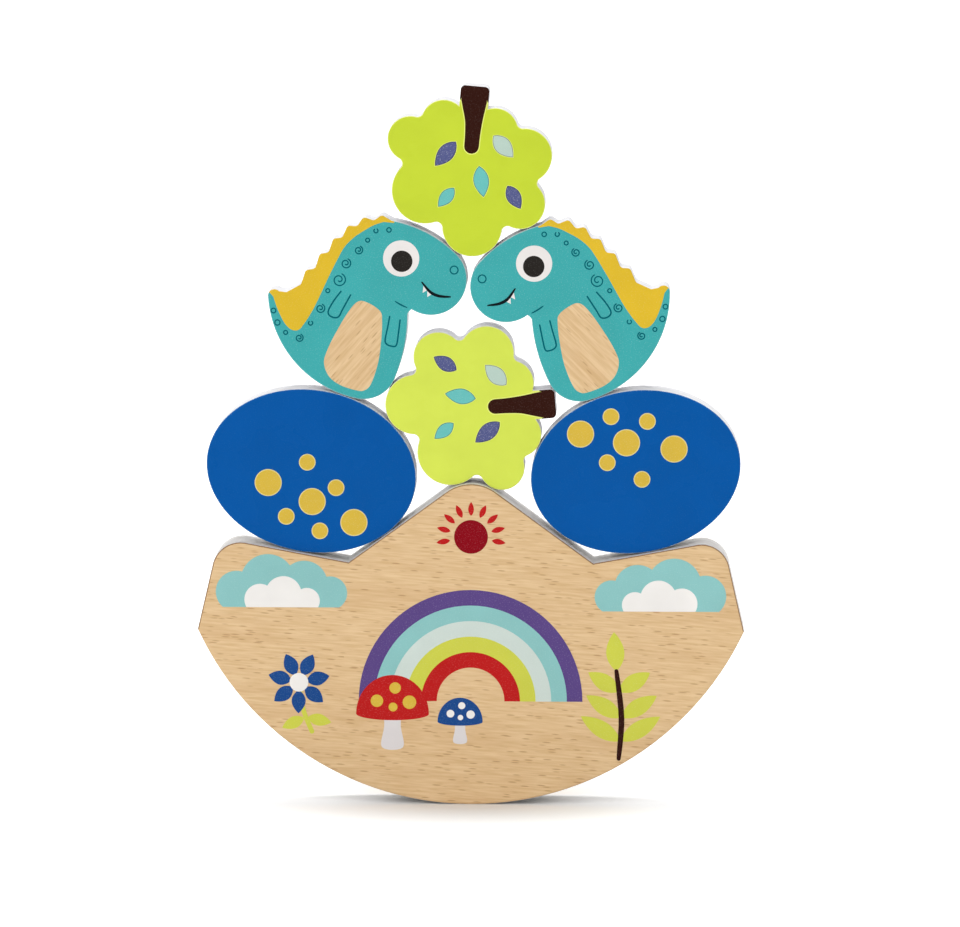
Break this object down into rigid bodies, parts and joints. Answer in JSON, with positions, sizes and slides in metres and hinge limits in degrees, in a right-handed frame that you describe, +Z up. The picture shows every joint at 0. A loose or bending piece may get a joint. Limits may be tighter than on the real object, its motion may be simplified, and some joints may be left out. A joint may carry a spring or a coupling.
{
  "type": "dinosaur balance game",
  "caption": "Wooden balancing toy: a thick rocker board with a peak and valleys carries loose egg, tree and dinosaur blocks that stack up and lift off one by one.",
  "frame": {"origin": "lowest point of the rocker, in the middle of its thickness", "axes": "+X to the right, +Y away from the viewer, through the thickness, +Z up"},
  "size_m": [0.21, 0.028, 0.2767],
  "materials": {
    "beech": "satin",
    "blue_paint": "painted satin",
    "lime_paint": "painted satin",
    "teal_paint": "painted satin"
  },
  "bodies": {
    "rocker_base": {"rocker_base": "beech"},
    "left_egg": {"left_egg": "blue_paint"},
    "right_egg": {"right_egg": "blue_paint"},
    "middle_tree": {"middle_tree": "lime_paint"},
    "left_dinosaur": {"left_dinosaur": "teal_paint"},
    "right_dinosaur": {"right_dinosaur": "teal_paint"},
    "top_tree": {"top_tree": "lime_paint"}
  },
  "joints": [
    {"name": "left_egg_lift", "type": "slide", "parent": "rocker_base", "child": "left_egg", "axis": [-0.9703, 0, 0.2419], "range_m": [0, 0.09]},
    {"name": "right_egg_lift", "type": "slide", "parent": "rocker_base", "child": "right_egg", "axis": [0.9703, 0, 0.2419], "range_m": [0, 0.09]},
    {"name": "middle_tree_lift", "type": "slide", "parent": "rocker_base", "child": "middle_tree", "axis": [0, -1, 0], "range_m": [0, 0.045]},
    {"name": "left_dinosaur_lift", "type": "slide", "parent": "rocker_base", "child": "left_dinosaur", "axis": [-0.891, 0, 0.454], "range_m": [0, 0.09]},
    {"name": "right_dinosaur_lift", "type": "slide", "parent": "rocker_base", "child": "right_dinosaur", "axis": [0.891, 0, 0.454], "range_m": [0, 0.09]},
    {"name": "top_tree_lift", "type": "slide", "parent": "rocker_base", "child": "top_tree", "axis": [0, 0, 1], "range_m": [0, 0.05]}
  ]
}
